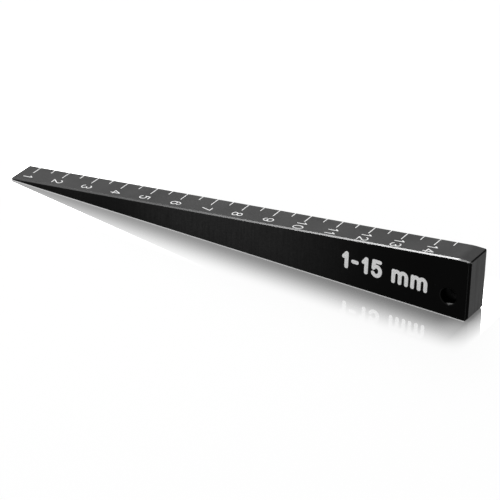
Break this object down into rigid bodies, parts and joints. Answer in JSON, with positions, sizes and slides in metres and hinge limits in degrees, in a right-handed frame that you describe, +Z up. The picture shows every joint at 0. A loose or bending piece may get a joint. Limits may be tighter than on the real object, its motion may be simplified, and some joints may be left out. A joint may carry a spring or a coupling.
{
  "type": "ride height gauge",
  "caption": "Black anodised aluminium wedge bar, engraved with a millimetre scale on its sloping top and slid under a vehicle to read its ride height. It has a hanging hole.",
  "frame": {"origin": "middle of the underside, on the surface that the gauge rests on", "axes": "+X along the bar towards its thick end, +Y across it towards the edge where the graduations start, +Z up"},
  "size_m": [0.122, 0.008, 0.015],
  "materials": {
    "anodised_bar": "satin black anodised, with pale laser-marked graduations and numerals"
  },
  "bodies": {
    "root": {"gauge_bar": "anodised_bar"}
  },
  "joints": []
}
